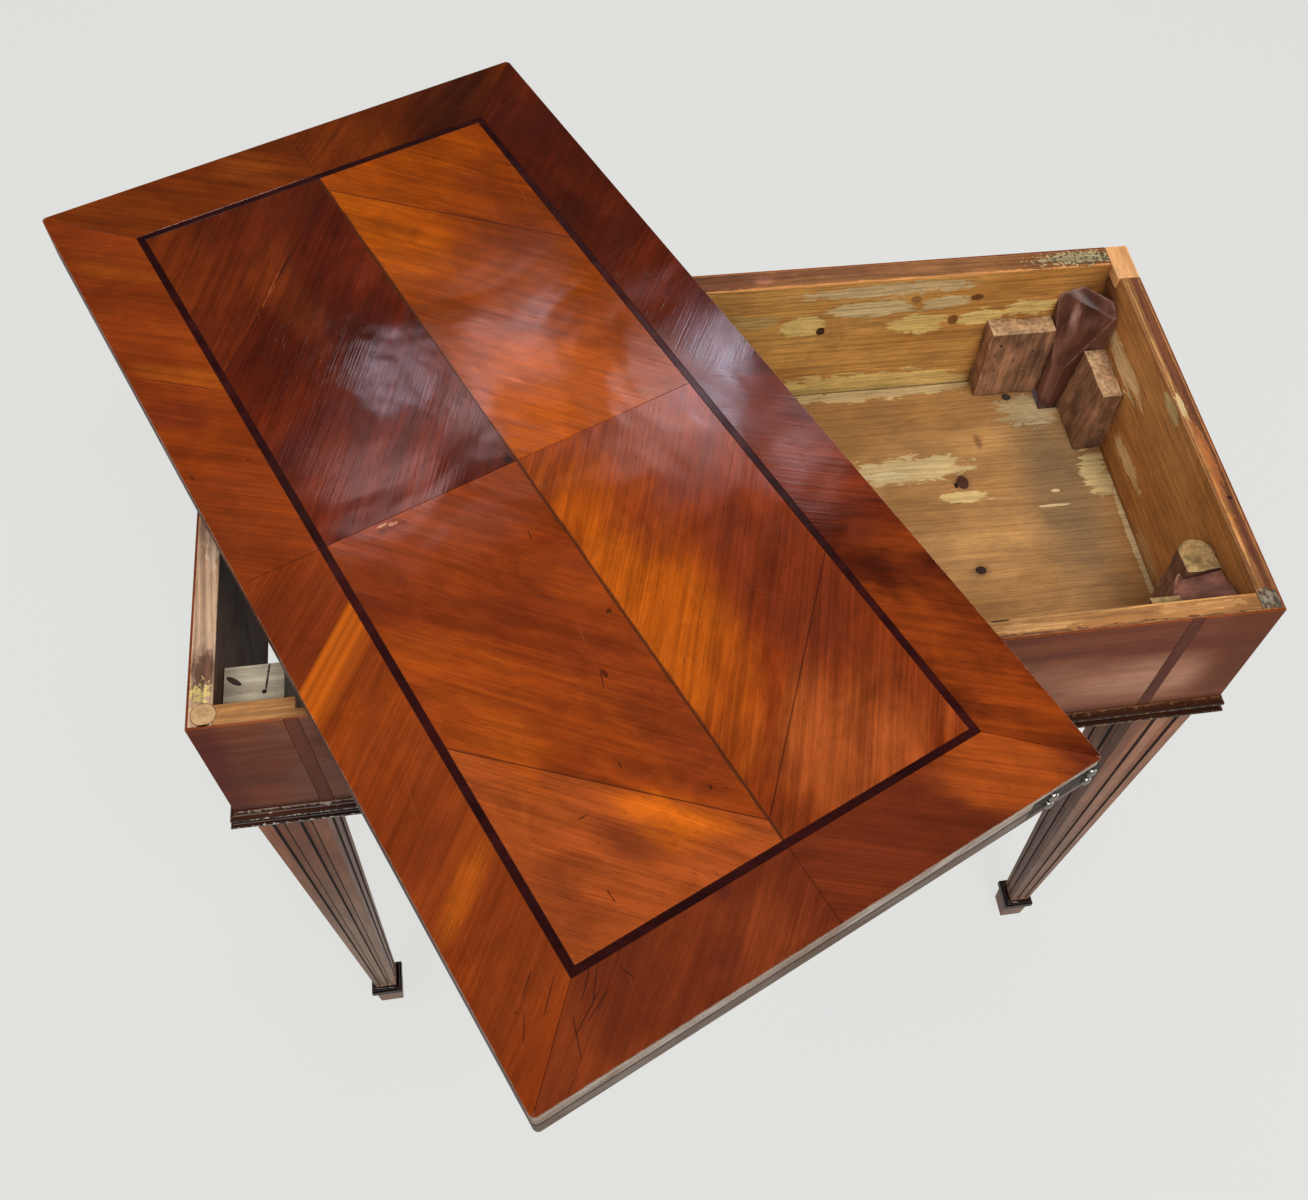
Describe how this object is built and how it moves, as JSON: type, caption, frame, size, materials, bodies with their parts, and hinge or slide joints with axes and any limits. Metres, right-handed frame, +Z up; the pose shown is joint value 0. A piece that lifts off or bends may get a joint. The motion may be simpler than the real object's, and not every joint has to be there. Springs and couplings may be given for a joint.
{
  "type": "games table",
  "caption": "Fold-over games table: a doubled veneered top that swivels on a pin and unfolds, over a frame with a storage well, a dark moulding and tapered fluted legs.",
  "frame": {"origin": "on the floor under the middle of the table's box, with the top folded and turned as seen", "axes": "+Z up, +X to the right along the frame's long side, -Y towards the front"},
  "size_m": [0.941, 0.9446, 0.7739],
  "materials": {
    "rail_wood": "aged bare wood",
    "aged_rail": "dark aged bare wood",
    "apron_veneer": "polished mahogany-red veneer",
    "dark_inlay": "polished dark inlay",
    "dark_moulding": "polished near-black moulding",
    "leg_wood": "worn polished wood",
    "well_pine": "aged pine with paint patches",
    "fresh_wood": "bare fresh wood",
    "leaf_wood": "worn polished edges",
    "baize": "woollen cloth",
    "field_veneer": "glossy figured veneer",
    "border_veneer": "glossy crossbanding",
    "hinge_brass": "tarnished",
    "screw_metal": "worn",
    "pivot_iron": "dark forged"
  },
  "bodies": {
    "frame": {"apron_band_left": "dark_inlay", "apron_band_right": "dark_inlay", "apron_moulding_back": "dark_moulding", "apron_moulding_front": "dark_moulding", "apron_moulding_left": "dark_moulding", "apron_moulding_right": "dark_moulding", "apron_veneer_back": "apron_veneer", "apron_veneer_front": "apron_veneer", "apron_veneer_left": "apron_veneer", "apron_veneer_right": "apron_veneer", "corner_plug": "fresh_wood", "glue_block_end": "well_pine", "glue_block_front": "well_pine", "glue_block_rear": "well_pine", "glue_block_round": "well_pine", "leg_back_left": "leg_wood", "leg_back_right": "leg_wood", "leg_collar_back_left": "dark_moulding", "leg_collar_back_right": "dark_moulding", "leg_collar_front_left": "dark_moulding", "leg_collar_front_right": "dark_moulding", "leg_front_left": "leg_wood", "leg_front_right": "leg_wood", "pivot_rail": "aged_rail", "rail_back": "rail_wood", "rail_front": "rail_wood", "rail_left": "aged_rail", "rail_right": "rail_wood", "rim_patch": "fresh_wood", "well_bottom": "well_pine", "well_partition": "well_pine"},
    "lower_leaf": {"hinge_pin_left": "hinge_brass", "hinge_pin_right": "hinge_brass", "hinge_plate_lower_left": "hinge_brass", "hinge_plate_lower_right": "hinge_brass", "hinge_screw_lower_left_far": "screw_metal", "hinge_screw_lower_left_near": "screw_metal", "hinge_screw_lower_right_far": "screw_metal", "hinge_screw_lower_right_near": "screw_metal", "lower_leaf_baize": "baize", "lower_leaf_core": "leaf_wood", "pivot_bolt": "pivot_iron", "pivot_nut": "pivot_iron"},
    "upper_leaf": {"border_veneer_back": "border_veneer", "border_veneer_front": "border_veneer", "border_veneer_left": "border_veneer", "border_veneer_right": "border_veneer", "field_veneer_back_left": "field_veneer", "field_veneer_back_right": "field_veneer", "field_veneer_front_left": "field_veneer", "field_veneer_front_right": "field_veneer", "hinge_plate_upper_left": "hinge_brass", "hinge_plate_upper_right": "hinge_brass", "hinge_screw_upper_left_far": "screw_metal", "hinge_screw_upper_left_near": "screw_metal", "hinge_screw_upper_right_far": "screw_metal", "hinge_screw_upper_right_near": "screw_metal", "stringing": "dark_inlay", "upper_leaf_baize": "baize", "upper_leaf_core": "leaf_wood"}
  },
  "joints": [
    {"name": "top_swivel", "type": "hinge", "parent": "frame", "child": "lower_leaf", "pos_m": [-0.03755, 0.13392, 0.7343], "axis": [0, 0, 1], "range_deg": [-24, 66]},
    {"name": "leaf_fold", "type": "hinge", "parent": "lower_leaf", "child": "upper_leaf", "pos_m": [0.09575, 0.08677, 0.7541], "axis": [-0.4067, 0.9135, 0], "range_deg": [0, 180]}
  ]
}
